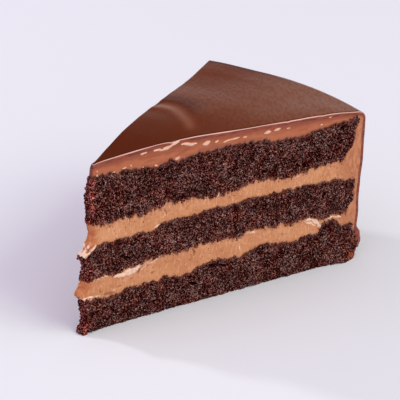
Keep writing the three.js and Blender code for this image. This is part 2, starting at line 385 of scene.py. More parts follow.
def on_stroke(reach, height, stroke):
    """From 1 on the line of a stroke, as [reach, height, reach, height, half width], to 0."""
    start = np.array(stroke[:2])
    line = np.array(stroke[2:4]) - start
    at = np.stack([reach, height], 1) - start
    share = np.clip(at @ line / max(line @ line, 1e-9), 0, 1)
    away = np.linalg.norm(at - share[:, None] * line, axis=1)
    half_width = stroke[4] * (0.35 + 0.65 * np.sin(math.pi * share))
    return np.clip(1 - away / half_width, 0, 1)


def inside_any(strokes, reach, height):
    """From 1 on the line of any of some strokes to 0 outside them all."""
    return np.max([on_stroke(reach, height, stroke) for stroke in strokes], 0)


ON_CUT = 1e-3
REVERSED_RUN = CAKE_RADIUS - 6  # a mark's distances on the two cuts add up to this


def places_on_cuts(reach, height, share):
    """For each cut, which points lie on it, and their places: the far cut runs backwards."""
    for side in (0, 1):
        here = np.abs(share - side) < ON_CUT
        yield here, (REVERSED_RUN - reach[here] if side else reach[here]), height[here]


def wandering(reach, height, at, size, sway, salt):
    """The same places, strayed by noise so that strokes drawn over them aren't straight."""
    return (reach + sway * soft_noise(at, size, salt),
            height + 0.8 * sway * soft_noise(at, size, salt + 1))


# ---------------------------------------------------------------- modelling

# How many faces each block has: along the slice and up, and from one cut to the other.
SPONGE_GRID = 500, 62
CREAM_GRID = 440, 32
ICING_GRID = 560, 14
GLAZE_ROWS_UP = 7
LAYER_ROWS_ACROSS = 10
BOX_MARGIN = 0.02
# Which way the two cuts and the tip face.
NEAR_OUT = np.array([-math.sin(HALF_ANGLE), -math.cos(HALF_ANGLE), 0.0])
FAR_OUT = NEAR_OUT * [1, -1, 1]
TIP_OUT = np.array([-1.0, 0.0, 0.0])


def deselect():
    if bpy.context.mode != "OBJECT":
        bpy.ops.object.mode_set(mode="OBJECT")
    bpy.ops.object.select_all(action="DESELECT")


def new_block(name, along, up, across):
    """A closed unit block: a fine grid is the near side, drawn out across to the far side."""
    deselect()
    bpy.ops.mesh.primitive_grid_add(x_subdivisions=along, y_subdivisions=up, size=1,
                                    location=(0.5, 0, 0.5), rotation=(-math.pi / 2, 0, 0))
    block = bpy.context.active_object
    block.name = name
    bpy.ops.object.transform_apply(location=True, rotation=True, scale=True)
    bpy.ops.object.mode_set(mode="EDIT")
    bpy.ops.mesh.select_all(action="SELECT")
    bpy.ops.mesh.extrude_region_move(TRANSFORM_OT_translate={"value": (0, 1, 0)})
    select_edges_across(block)
    bpy.ops.mesh.subdivide(number_cuts=across - 1, smoothness=0)
    bpy.ops.mesh.select_all(action="SELECT")
    bpy.ops.mesh.normals_make_consistent(inside=False)
    bpy.ops.object.mode_set(mode="OBJECT")
    return block


def select_edges_across(block):
    bpy.ops.object.mode_set(mode="OBJECT")
    bpy.context.tool_settings.mesh_select_mode = (False, True, False)
    mesh = block.data
    ends = np.empty(2 * len(mesh.edges), np.int32)
    mesh.edges.foreach_get("vertices", ends)
    width = read_points(block)[:, 1][ends.reshape(-1, 2)]
    crosses = np.abs(width[:, 0] - width[:, 1]) > 0.5
    mesh.polygons.foreach_set("select", np.zeros(len(mesh.polygons), bool))
    mesh.vertices.foreach_set("select", np.zeros(len(mesh.vertices), bool))
    mesh.edges.foreach_set("select", crosses)
    bpy.ops.object.mode_set(mode="EDIT")


def read_points(piece):
    points = np.empty(3 * len(piece.data.vertices), np.float32)
    piece.data.vertices.foreach_get("co", points)
    return points.reshape(-1, 3).astype(float)


def put_points(piece, points):
    """Writes points given in millimetres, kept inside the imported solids' box."""
    low, high = (np.array(corner) for corner in cad_box)
    margin = BOX_MARGIN * MM
    placed = np.clip(points * MM, low + margin * (low != 0), high - margin)
    piece.data.vertices.foreach_set("co", placed.astype(np.float32).ravel())
    piece.data.update()


def paint(piece, **layers):
    """Named numbers that the finish reads: one for each point, or one for all."""
    everywhere = np.ones(len(piece.data.vertices))
    for name, values in layers.items():
        layer = piece.data.attributes.new(name, "FLOAT", "POINT")
        layer.data.foreach_set("value", (everywhere * values).astype(np.float32))


def outwards(reach, across, blend=0.7):
    """Which way a point on the block is pushed by relief: out of the cuts and out of the tip."""
    width = slice_width(reach)
    weights = [np.clip(1 - across * width / blend, 0, 1),
               np.clip(1 - (1 - across) * width / blend, 0, 1),
               np.clip(1 - reach / blend, 0, 1)]
    push = sum(w[:, None] * way for w, way in zip(weights, (NEAR_OUT, FAR_OUT, TIP_OUT)))
    size = np.linalg.norm(push, axis=1, keepdims=True)
    return push / np.maximum(size, 1.0)


def eased_shares(share):
    """Closer together towards both ends."""
    return 0.5 - 0.5 * np.cos(math.pi * share)


def spread_layer(name, under, over, grid):
    """A layer's block between two spread surfaces, before any relief.

    With it, for each point: its share of the width and of the thickness, where the layer ends,
    its distance, and the heights of the surfaces under and over it.
    """
    piece = new_block(name, *grid, LAYER_ROWS_ACROSS)
    unit = read_points(piece)
    share, rise = eased_shares(unit[:, 1]), unit[:, 2]
    edge = stack_edge(lerp(under["rim"], over["rim"], rise), share)
    reach = unit[:, 0] * (edge + SEAM_OVERLAP)
    low = level(under, reach, share) - (SEAM_OVERLAP if under is not FLOOR else 0)
    high = level(over, reach, share) + SEAM_OVERLAP
    return piece, share, rise, edge, reach, low, high


def finish_piece(piece, material, slot, *nodes, smooth_angle):
    deselect()
    piece.select_set(True)
    bpy.context.view_layer.objects.active = piece
    bpy.ops.object.shade_smooth_by_angle(angle=math.radians(smooth_angle))
    piece.data.materials.clear()
    piece.data.materials.append(material)
    if nodes:
        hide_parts(*nodes)
    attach(piece, BODY)


# ---------------------------------------------------------------- sponges

# The crumb: how far apart its pores, fine grains and larger holes lie, and chips at the foot.
PORE = 0.85
FINE_GRAIN = 0.42
HOLE = 2.3
CHIP = 1.3
CREAM_SMEAR = 2.5  # how far cream is smeared over the crumb beside it
# Deep holes and cracks: [reach, height, reach, height, half width, depth]. These and all the
# strokes below are those of the near cut, and the far cut has them in reverse order.
CRACKS = [
    [49.2, 12.9, 53.4, 12.3, 1.0, 1.9], [54.2, 12.0, 58.4, 10.9, 0.9, 1.5],
    [42.0, 8.1, 45.6, 6.9, 0.8, 1.6], [104.4, 54.2, 105.8, 53.2, 1.5, 1.9],
    [37.8, 41.6, 38.6, 43.6, 0.9, 1.2], [58.5, 47.2, 60.6, 48.0, 0.9, 1.2],
    [70.4, 44.4, 72.6, 44.0, 0.8, 1.1], [83.0, 24.2, 84.8, 26.4, 0.9, 1.2],
    [98.5, 27.0, 99.2, 30.0, 0.9, 1.2], [14.0, 25.2, 17.0, 24.2, 0.8, 1.1],
    [74.6, 6.2, 75.2, 8.2, 0.9, 1.1], [27.0, 4.4, 29.6, 5.0, 0.7, 1.0],
    [90.4, 9.2, 92.0, 10.4, 0.9, 1.1],
]
# Where the glaze has run over the crumb at the near foot only, like the cracks without a depth.
FOOT_STAINS = [[111.6, 3.0, 114.6, 0.8, 1.7], [112.6, 8.6, 114.0, 6.4, 0.7]]


def crumb_relief(at, salt):
    """Height of torn sponge above the plain cut, in millimetres: thin walls between pores."""
    bend = np.stack([soft_noise(at, 1.1, salt + k) for k in range(3)], 1)
    bent = at + 0.3 * bend
    pore, own = nearest_grain(bent, PORE, salt + 4)
    fine, fine_own = nearest_grain(bent, FINE_GRAIN, salt + 8)
    hole, hole_own = nearest_grain(bent, HOLE, salt + 12)
    pit = (0.35 + 0.75 * own) * (1 - smooth(pore, 0.12, 0.62))
    dome = (1 - np.clip(fine / 0.8, 0, 1) ** 2) * (0.10 + 0.22 * fine_own)
    hole_size = np.clip(hole_own - 0.45, 0, 1) * 0.55
    hollow = smooth(1 - hole / np.maximum(hole_size, 1e-3)) * (hole_size > 0.05)
    lumps = 0.2 * soft_noise(at, 5.0, salt + 16) + 0.16 * soft_noise(at, 2.2, salt + 17)
    return 0.25 + lumps + dome - pit - 0.9 * hollow


def crack_depth(reach, height, share):
    depth = np.zeros_like(reach)
    for here, *place in places_on_cuts(reach, height, share):
        cracks = [crack[5] * smooth(on_stroke(*place, crack)) for crack in CRACKS]
        depth[here] = np.max(cracks, 0)
    return depth


def sponge(name, node, under, over, salt):
    piece, share, rise, _, reach, low, high = spread_layer(name, under, over, SPONGE_GRID)
    height = lerp(low, high, rise)
    plain = in_plan(reach, height, share)
    relief = crumb_relief(plain, salt) - crack_depth(reach, height, share)
    # Lower crumb is painted darker: painted shade in the pores and cracks.
    tone = np.clip(0.66 + relief / 1.5, 0, 1)
    push = outwards(reach, share)
    above_cream = height - low
    stain = 0.0
    if under is FLOOR:
        relief += FOOT_BULGE * smooth(reach, 98, 110) * (1 - smooth(height, 2, 8))
        above_cream = CREAM_SMEAR
        stain = inside_any(FOOT_STAINS, reach, height) * (share < 0.1)
    points = plain + push * relief[:, None]
    chipped = 0.6 * np.clip(soft_noise(plain, CHIP, salt + 30) + 0.1, 0, 1)
    at_floor = (under is FLOOR) & (rise < 1e-3)
    points[:, 2] += at_floor * chipped * np.linalg.norm(push, axis=1)
    put_points(piece, points)
    # The finish paints the tip face lighter: painted light.
    paint(piece, relief=tone, tip=1 - smooth(reach, 0.3, 1.8), stain=stain,
          above_cream=above_cream / CREAM_SMEAR, below_cream=(high - height) / CREAM_SMEAR)
    finish_piece(piece, sponge_finish, "chocolate_sponge", node, smooth_angle=40)


# ---------------------------------------------------------------- fillings

# Streaks where the knife has dragged the cream into ridges, painted pale as highlights: [reach,
# height, reach, height, half width].
RIDGE_HIGHLIGHTS = [
    [10.9, 18.6, 16.0, 18.5, 1.3], [15.0, 18.8, 20.4, 18.9, 2.0], [19.6, 19.4, 22.0, 20.2, 1.1],
    [22.0, 18.0, 24.2, 19.7, 0.45], [24.2, 19.7, 27.6, 20.3, 0.6], [22.9, 19.4, 24.6, 20.8, 0.4],
    [3.0, 19.6, 9.6, 19.3, 0.5], [27.2, 20.2, 30.0, 21.6, 0.45], [91.7, 20.8, 94.6, 20.3, 0.9],
    [94.2, 20.1, 97.2, 18.2, 0.95], [97.0, 18.2, 98.4, 16.0, 0.75], [90.4, 20.6, 96.0, 17.6, 0.55],
    [101.0, 18.9, 104.0, 19.3, 0.7], [103.8, 19.2, 107.6, 18.1, 0.5], [33.4, 41.0, 32.2, 38.6, 0.5],
    [31.4, 37.4, 30.0, 35.6, 0.4], [27.0, 33.4, 28.6, 33.8, 0.5], [52.6, 39.0, 53.0, 41.0, 0.5],
    [66.2, 21.9, 70.2, 21.3, 0.4], [110.0, 39.9, 112.6, 40.9, 0.4], [0.2, 30.6, 3.0, 32.6, 1.0],
    [1.0, 14.4, 3.6, 13.6, 0.7], [3.2, 13.2, 6.2, 12.7, 0.4], [85.0, 38.4, 88.0, 39.0, 0.4],
    [59.4, 15.6, 60.0, 18.4, 0.35], [62.6, 15.2, 63.0, 17.8, 0.35], [46.8, 39.8, 47.6, 38.4, 0.4],
    [10.2, 12.9, 12.2, 13.8, 0.4],
]
# Brown marks where crumb was dragged into the cream, written like the drags.
BROWN_MARKS = [
    [20.9, 17.2, 21.7, 18.9, 0.6], [16.6, 19.8, 17.2, 18.9, 0.45], [17.2, 15.9, 18.6, 16.3, 0.4],
    [12.2, 14.3, 14.4, 14.5, 0.5], [7.4, 12.7, 11.2, 12.4, 1.0], [26.2, 15.6, 27.2, 16.4, 0.45],
    [43.4, 21.8, 44.0, 18.0, 0.6], [30.9, 39.6, 31.6, 37.0, 0.45], [97.2, 15.2, 98.4, 16.4, 0.6],
    [57.2, 37.2, 58.0, 37.4, 0.35], [103.6, 38.2, 104.6, 38.6, 0.4],
    [100.4, 40.0, 101.6, 39.4, 0.4],
]
# Folds and gaps in the cream: [reach, height, reach, height, half width, depth].
FOLDS = [
    [44.3, 22.2, 43.2, 18.6, 0.5, 0.5], [43.2, 18.6, 42.2, 13.6, 0.35, 0.28],
    [44.0, 21.9, 45.2, 21.5, 0.8, 1.0], [33.6, 40.6, 30.6, 36.0, 0.5, 0.32],
    [24.8, 19.0, 25.8, 20.2, 0.9, 0.9], [20.9, 17.4, 21.6, 18.6, 0.4, 0.6],
    [97.6, 18.4, 99.4, 19.6, 0.5, 0.5],
]


def smear_relief(at):
    """The knife's smooth, slightly rippled cut through cream and icing alike."""
    return 0.10 * soft_noise(at, 5.0, 701) + 0.05 * soft_noise(at, 1.3, 702)


def drag_strength(drag, place):
    """How strongly a drag's painted highlight covers a place: a wide one more than a narrow one."""
    return min(0.3 + 0.65 * drag[4], 1.0) * smooth(on_stroke(*place, drag), 0.0, 0.6)


def cream_relief(at, reach, height, share, salt):
    """Height of the cream above its smooth cut, how much painted highlight it has, and how brown it
    is.
    """
    pit, own = nearest_grain(at, 1.7, salt + 2)
    relief = -0.22 * smooth(1 - pit / 0.2) * (own > 0.6)
    relief += 0.035 * soft_noise(at * [0.6, 0.6, 0.12], 0.5, salt + 6)
    pale, brown = np.zeros_like(reach), np.zeros_like(reach)
    strayed = wandering(reach, height, at, 1.5, 0.5, salt + 11)
    for here, *place in places_on_cuts(*strayed, share):
        pale[here] = np.max([drag_strength(drag, place) for drag in RIDGE_HIGHLIGHTS], 0)
        brown[here] = smooth(inside_any(BROWN_MARKS, *place), 0.0, 0.6)
        relief[here] -= sum(fold[5] * smooth(on_stroke(*place, fold)) for fold in FOLDS)
    rough = soft_noise(at, 0.8, salt + 9) + 0.5 * soft_noise(at, 0.4, salt + 10)
    rough = smooth(rough, -0.6, 0.7)
    relief += pale * (0.12 + 0.4 * rough) - 0.12 * brown
    return relief, pale * (0.45 + 0.55 * rough), brown


def filling(name, node, under, over, salt):
    piece, share, rise, edge, reach, low, high = spread_layer(name, under, over, CREAM_GRID)
    height = lerp(low, high, rise)
    plain = in_plan(reach, height, share)
    relief, pale, brown = cream_relief(plain, reach, height, share, salt)
    from_low, from_high = rise * (high - low), (1 - rise) * (high - low)
    relief -= 0.12 * (1 - smooth(np.minimum(from_low, from_high), 0, 0.5))
    furrows = soft_noise(plain * [1, 1, 0.3], 0.8, salt + 15) + soft_noise(plain, 0.65, salt + 16)
    relief += 0.12 * furrows * (1 - smooth(from_high, 0.8, 3.0))
    relief = smear_relief(plain) + relief * smooth(edge - reach, 0.0, 1.5)
    tip = 1 - smooth(reach, 0.3, 4.0)
    lumps = np.clip(soft_noise(plain, 0.9, salt + 20) + 0.3, 0, 1)
    squeezed = tip * lumps * (1 - smooth(rise, 0.1, 0.5))
    relief += 0.9 * squeezed + tip * 0.3 * soft_noise(plain, 0.8, salt + 21)
    put_points(piece, plain + outwards(reach, share) * relief[:, None])
    # The painted highlights lie on the dragged ridges and on the lumps squeezed out at the tip.
    paint(piece, pale=np.maximum(pale, smooth(squeezed, 0.15, 0.6) * 0.9), brown=brown, tip=tip,
          rim=smooth(reach - edge, -9, 0), above_crumb=from_low / CREAM_SMEAR,
          below_crumb=from_high / CREAM_SMEAR)
    finish_piece(piece, cream_finish, "buttercream", node, smooth_angle=60)


# ---------------------------------------------------------------- icing and glaze

# Wet smears of icing along the cut, painted pale as highlights, written like the drags.
SMEAR_HIGHLIGHTS = [
    [19.8, 61.8, 23.0, 61.9, 0.42], [25.8, 62.0, 29.4, 61.8, 0.5], [29.0, 61.9, 32.8, 62.3, 0.8],
    [32.4, 62.4, 36.0, 63.6, 0.75], [36.8, 62.1, 43.0, 61.0, 0.75], [45.6, 60.0, 48.2, 60.7, 0.9],
    [50.3, 59.7, 52.0, 60.1, 0.5], [53.9, 59.4, 57.2, 59.6, 0.36], [57.0, 59.5, 60.5, 59.6, 0.42],
    [62.0, 59.3, 63.7, 59.3, 0.34], [71.2, 58.9, 73.6, 59.0, 0.75], [75.6, 58.9, 77.8, 59.2, 0.6],
    [80.8, 58.6, 82.5, 58.6, 0.25], [95.2, 56.9, 96.4, 57.1, 0.35], [98.9, 59.0, 99.8, 59.2, 0.3],
    [34.2, 57.0, 36.2, 57.3, 0.6], [2.6, 59.4, 2.9, 59.7, 0.4], [2.4, 57.7, 3.0, 58.3, 0.5],
    [9.2, 57.7, 10.4, 57.9, 0.3], [13.4, 58.2, 14.8, 58.5, 0.35], [16.2, 58.7, 17.2, 58.6, 0.3],
    [21.2, 56.9, 22.0, 57.0, 0.3], [26.2, 56.7, 27.4, 56.7, 0.4],
]
# Darker streaks of the icing, written the same way.
ICING_DARK_STREAKS = [
    [34.5, 58.2, 40.8, 60.2, 1.0], [43.5, 58.4, 57.0, 57.9, 1.1], [30.0, 59.4, 34.5, 60.2, 0.6],
    [60.0, 57.8, 71.0, 57.2, 0.8], [22.0, 58.4, 27.0, 58.8, 0.6],
]
LIP_RADIUS = 0.26
# The glaze's columns: their distance in from a cut, in millimetres, then even shares between.
LIP_COLUMNS = [0.0, 0.03, 0.07, 0.12, 0.18, 0.26, 0.5, 1.1]
MIDDLE_COLUMNS = 52
RUN_ROWS = 340
# Where the glaze's painted reflection and shade lie: over this much reach, and over this share of
# the width.
SHEEN_ZONE = (55, 108), (0.45, 0.95)
FAR_SIDE = (62, 95), (0.35, 0.85)
FAR_EDGE = (109, 112), (0.4, 0.75)


def strokes_on_cuts(strokes, reach, height, share, plain):
    """How far a place on a cut lies inside any of some strokes, which wander a little."""
    strength = np.zeros_like(reach)
    strayed = wandering(reach, height, plain, 2.2, 0.3, 305)
    for here, *place in places_on_cuts(*strayed, share):
        strength[here] = inside_any(strokes, *place)
    return strength


def between_rims(height, under, over):
    """From 0 to 1 at the heights that lie between two spread surfaces at the rim."""
    return (smooth(height, under["rim"] - 0.5, under["rim"] + 0.5)
            * (1 - smooth(height, over["rim"] - 0.5, over["rim"] + 0.5)))


def icing():
    piece = new_block("milk_icing", *ICING_GRID, LAYER_ROWS_ACROSS)
    unit = read_points(piece)
    share, out = eased_shares(unit[:, 1]), unit[:, 2]
    run = unit[:, 0] * FULL_RUN
    outer = inside_coat(run, share, GLAZE_ON_TOP - SEAM_OVERLAP, GLAZE_ON_RIM - SEAM_OVERLAP,
                        ICING_FOOT)
    inner = on_stack(run, share)
    reach, height = (lerp(a, b, out) for a, b in zip(inner, outer))
    plain = in_plan(reach, height, share)
    wet = strokes_on_cuts(SMEAR_HIGHLIGHTS, reach, height, share, plain)
    relief = smear_relief(plain) + 0.35 * smooth(wet, 0, 0.6)
    put_points(piece, plain + outwards(reach, share) * relief[:, None])
    thickness = np.hypot(outer[0] - inner[0], outer[1] - inner[1])
    cream_beside = (run > CORNER_RUN) * sum(
        between_rims(height, under, over) for _, _, under, over, _ in FILLINGS)
    paint(piece, wet=wet, outer=out, side=smooth(run, TURN - 6, TURN + 10),
          bruise=strokes_on_cuts(ICING_DARK_STREAKS, reach, height, share, plain),
          above_crumb=out * thickness / CREAM_SMEAR + cream_beside,
          tip=1 - smooth(reach, 0.2, 1.2))
    finish_piece(piece, icing_finish, "milk_icing", "icing", smooth_angle=60)


def glaze_block():
    """The glaze's block, whose rows and columns crowd at each edge to be rounded into a lip.

    With it, for each point: whether it is on a cut, its distance in from one, its share of the
    width, its run, and how far out it lies.
    """
    columns = 2 * len(LIP_COLUMNS) + MIDDLE_COLUMNS
    rows = 2 * len(LIP_COLUMNS) + RUN_ROWS
    piece = new_block("chocolate_glaze", rows - 1, GLAZE_ROWS_UP, columns - 1)
    unit = read_points(piece)
    column = np.round(unit[:, 1] * (columns - 1)).astype(int)
    row = np.round(unit[:, 0] * (rows - 1)).astype(int)
    lips = np.array(LIP_COLUMNS)
    from_cut = np.concatenate([lips, np.full(MIDDLE_COLUMNS, lips[-1]), lips[::-1]])
    shares = np.linspace(0, 1, MIDDLE_COLUMNS + 2)[1:-1]
    shares = np.concatenate([np.zeros(len(lips)), shares, np.ones(len(lips))])
    runs = np.linspace(lips[-1], FULL_RUN - lips[-1], RUN_ROWS + 2)[1:-1]
    runs = np.concatenate([lips, runs, FULL_RUN - lips[::-1]])
    on_cut = (column == 0) | (column == columns - 1)
    return piece, on_cut, from_cut[column], shares[column], runs[row], unit[:, 2]


def glaze():
    piece, on_cut, from_cut, share, run, out = glaze_block()
    width = slice_width(np.minimum(run, TURN), COAT_TIP_HALF_WIDTH)
    inset = from_cut * np.minimum(1, 0.4 * width / LIP_COLUMNS[-1])
    across = share + (1 - 2 * share) * inset / width
    foot = GLAZE_FOOT + GLAZE_FOOT_WAVE * np.sin(17 * across + 1)
    inner = inside_coat(run, across, GLAZE_ON_TOP, GLAZE_ON_RIM, foot)
    outer = list(inside_coat(run, across, 0.0, 0.0, foot))
    middle = (share > 0) & (share < 1)
    from_edge = np.minimum(from_cut + 9 * middle, np.minimum(run, FULL_RUN - run))
    lip = LIP_RADIUS * (1 + 0.35 * soft_noise(np.stack([run, across, share], 1), 9.0, 405))
    inward = np.clip(lip - from_edge, 0, lip)
    drop = lip - np.sqrt(lip**2 - inward**2)
    on_top = 1 - smooth(run, TURN, TURN + SHOULDER_ARC)
    lump = foot_lump(outer[1], across) * (1 - on_top)
    outer[0] = outer[0] + lump - drop * (1 - on_top)
    outer[1] = outer[1] - drop * on_top
    reach, height = (lerp(a, b, out) for a, b in zip(inner, outer))
    plain = in_plan(reach, height, across)
    on_near_half = share < 0.5
    wet = strokes_on_cuts(SMEAR_HIGHLIGHTS, reach, height, share, plain) * on_top * on_near_half
    relief = 0.06 * soft_noise(plain * [1, 1, 2], 5.0, 401)
    relief += 0.3 * np.clip(lump, 0, 1.5) * soft_noise(plain, 1.4, 402)
    relief += 0.3 * smooth(wet, 0, 0.6)
    put_points(piece, plain + outwards(reach, across, 0.3) * relief[:, None])
    # lip carries a painted highlight along the rounded lip, and beside_lip a painted dark reflection
    # on the top beside it.
    paint(piece, wet=wet, cut=on_cut, reach=reach / CAKE_RADIUS,
          lip=smooth(drop, 0.02, 0.15) * (out > 0.9) * on_top * np.where(on_near_half, 1, 0.25),
          beside_lip=(1 - smooth(from_cut, 0.3, 1.1)) * on_near_half * on_top,
          foot=smooth(lump, 0.3, 1.5) * (0.35 + 0.65 * np.exp(-across / 0.12)))
    paint_top(piece, reach, across, run, on_top)
    finish_piece(piece, glaze_finish, "chocolate_glaze", "glaze", smooth_angle=50)


def paint_top(piece, reach, across, run, on_top):
    """Where the glaze on top carries painted reflection: a sheen zone, a darker far side, a sheen
    along its fold with painted shade behind it, and a painted shade line along the far edge.
    """
    from_fold = reach - flowing(FOLD_PATH, across) - 1.0
    above_rim = 1 - smooth(run, TURN + SHOULDER_ARC / 2, TURN + 2 * SHOULDER_ARC)
    haze = smooth(reach, *SHEEN_ZONE[0]) * (1 - smooth(across, *SHEEN_ZONE[1]))
    far = smooth(reach, *FAR_SIDE[0]) * smooth(across, *FAR_SIDE[1])
    far_edge = smooth(reach, *FAR_EDGE[0]) * smooth(across, *FAR_EDGE[1])
    thin = hump(from_fold, 2.0 + 1.2 * across) * smooth(across, 0.12, 0.35)
    shade = hump(from_fold - 7.5, 4.5) * smooth(across, 0.4, 0.75)
    paint(piece, haze=haze * on_top, far=far * on_top, far_edge=far_edge * above_rim,
          thin=thin * (1 - smooth(across, 0.93, 0.99)) * on_top, shade=shade * on_top)


# ---------------------------------------------------------------- crumbs

SMALLEST_CRUMB, LARGEST_CRUMB = 0.24, 0.84
# Crumbs pressed into the icing at the near upper corner: how many, and their middle and spread.
CORNER_CRUMBS = 70
CORNER_REACH, CORNER_SPREAD, CORNER_LIMIT = 109.8, 1.8, 112.4
CORNER_HEIGHT, CORNER_SLOPE, CORNER_SCATTER = 55.28, 0.1, 0.8


def crumb_model(seed):
    """A small ball with its corners pushed about."""
    deselect()
    bpy.ops.mesh.primitive_ico_sphere_add(subdivisions=1, radius=0.5, location=(0, 0, 0))
    model = bpy.context.active_object
    bpy.ops.object.mode_set(mode="EDIT")
    bpy.ops.mesh.select_all(action="SELECT")
    bpy.ops.transform.vertex_random(offset=0.16, uniform=1.0, seed=seed)
    bpy.ops.object.mode_set(mode="OBJECT")
    return model


def turned(random, count):
    """Random turns, as rotation matrices."""
    quaternions = random.normal(size=(count, 4))
    w, x, y, z = (quaternions / np.linalg.norm(quaternions, axis=1)[:, None]).T
    return np.stack([
        np.stack([1 - 2 * (y * y + z * z), 2 * (x * y - z * w), 2 * (x * z + y * w)], 1),
        np.stack([2 * (x * y + z * w), 1 - 2 * (x * x + z * z), 2 * (y * z - x * w)], 1),
        np.stack([2 * (x * z - y * w), 2 * (y * z + x * w), 1 - 2 * (x * x + y * y)], 1),
    ], 1)


def scatter(name, lots, seed):
    """One mesh of many crumbs, each a turned and stretched copy of one of a few models.

    A lot holds the places, sizes and tones of some of the crumbs.
    """
    places, sizes, tones = (np.concatenate(part) for part in zip(*lots))
    random = np.random.default_rng(seed)
    models = [crumb_model(seed + k) for k in range(3)]
    count = len(places)
    kind = random.integers(0, len(models), count)
    turns = turned(random, count)
    stretch = random.uniform(0.65, 1.3, (count, 3)) * sizes[:, None]
    points, faces, tone, start = [], [], [], 0
    for k, model in enumerate(models):
        own = read_points(model)
        corners = np.array([list(p.vertices) for p in model.data.polygons])
        chosen = np.flatnonzero(kind == k)
        shaped = own[None] * stretch[chosen][:, None]
        moved = np.einsum("nij,nvj->nvi", turns[chosen], shaped) + places[chosen][:, None]
        points.append(moved.reshape(-1, 3))
        first = start + len(own) * np.arange(len(chosen))
        faces.append((corners[None] + first[:, None, None]).reshape(-1, 3))
        tone.append(np.repeat(tones[chosen], len(own)))
        start += len(own) * len(chosen)
        bpy.data.objects.remove(model)
    mesh = bpy.data.meshes.new(name)
    points = np.concatenate(points)
    mesh.from_pydata([(0, 0, 0)] * len(points), [], np.concatenate(faces).tolist())
    piece = bpy.data.objects.new(name, mesh)
    bpy.context.scene.collection.objects.link(piece)
    put_points(piece, points)
    paint(piece, relief=np.concatenate(tone), above_cream=1.0, below_cream=1.0)
    finish_piece(piece, sponge_finish, "chocolate_sponge", smooth_angle=30)


def crumbs_on_sponge(per_face=1450, on_tip=90):
    """Loose crumbs lie all over the torn cuts and the tip, but not in their holes."""
    random = np.random.default_rng(7)
    lots = []
    for _, _, under, over, salt in SPONGES:
        for side in (0, 1, None):
            at_tip = side is None
            count = on_tip if at_tip else per_face
            rise = random.uniform(0.02, 0.98, count)
            along = np.zeros(count) if at_tip else random.uniform(0, 0.995, count)
            share = random.uniform(0, 1, count) if at_tip else np.full(count, float(side))
            reach = along * straight(STACK_EDGE, lerp(under["rim"], over["rim"], rise))
            height = lerp(level(under, reach, share), level(over, reach, share), rise)
            plain = in_plan(reach, height, share)
            relief = crumb_relief(plain, salt) - crack_depth(reach, height, share)
            size = lerp(SMALLEST_CRUMB, LARGEST_CRUMB, random.random(count) ** 2.2)
            out = outwards(reach, share) * (relief + 0.12 * size)[:, None]
            tone = random.uniform(0.5, 1.05, count)
            lots.append([part[relief > -0.25] for part in (plain + out, size, tone)])
    scatter("sponge_crumbs", lots, seed=31)


def crumbs_on_cream(loose=26, at_edges=380, below_edge=110):
    """A few loose crumbs lie on the cream, and many along its edges."""
    random = np.random.default_rng(19)
    lots = []
    count = loose + at_edges + below_edge
    is_loose = np.arange(count) < loose
    for _, _, under, over, _ in FILLINGS:
        for side in (0, 1):
            rise = np.where(is_loose, random.uniform(0.05, 0.95, count),
                            np.round(random.random(count)) + random.normal(0, 0.04, count))
            rise[-below_edge:] = 1 - np.abs(random.normal(0, 0.13, below_edge))
            share = np.full(count, float(side))
            reach = random.uniform(0.5, 108, count)
            height = lerp(level(under, reach, share), level(over, reach, share), rise)
            size = np.where(is_loose, random.uniform(0.2, 0.5, count),
                            random.uniform(0.25, 0.8, count))
            size[-below_edge:] *= 0.6
            place = in_plan(reach, height, share) + outwards(reach, share) * 0.1 * size[:, None]
            lots.append([place, size, random.uniform(0.85, 1.25, count)])
    reach = np.minimum(random.normal(CORNER_REACH, CORNER_SPREAD, CORNER_CRUMBS), CORNER_LIMIT)
    height = CORNER_HEIGHT + CORNER_SLOPE * (reach - CORNER_REACH)
    height += random.normal(0, CORNER_SCATTER, CORNER_CRUMBS)
    share = np.zeros(CORNER_CRUMBS)
    size = random.uniform(0.35, 0.95, CORNER_CRUMBS)
    place = in_plan(reach, height, share) + outwards(reach, share) * 0.2 * size[:, None]
    lots.append([place, size, random.uniform(0.5, 1.1, CORNER_CRUMBS)])
    scatter("cream_crumbs", lots, seed=43)


# ---------------------------------------------------------------- finishes

class Wire:
    """A shader value that can be written into sums."""

    def __init__(self, tree, socket):
        self.tree, self.socket = tree, socket

    def sum(self, operation, first, second):
        return self.tree.node("ShaderNodeMath", {"operation": operation}, {0: first, 1: second})

    def __add__(self, other):
        return self.sum("ADD", self, other)

    def __sub__(self, other):
        return self.sum("SUBTRACT", self, other)

    def __mul__(self, other):
        return self.sum("MULTIPLY", self, other)

    def __rsub__(self, other):
        return self.sum("SUBTRACT", other, self)

    __radd__ = __add__
    __rmul__ = __mul__


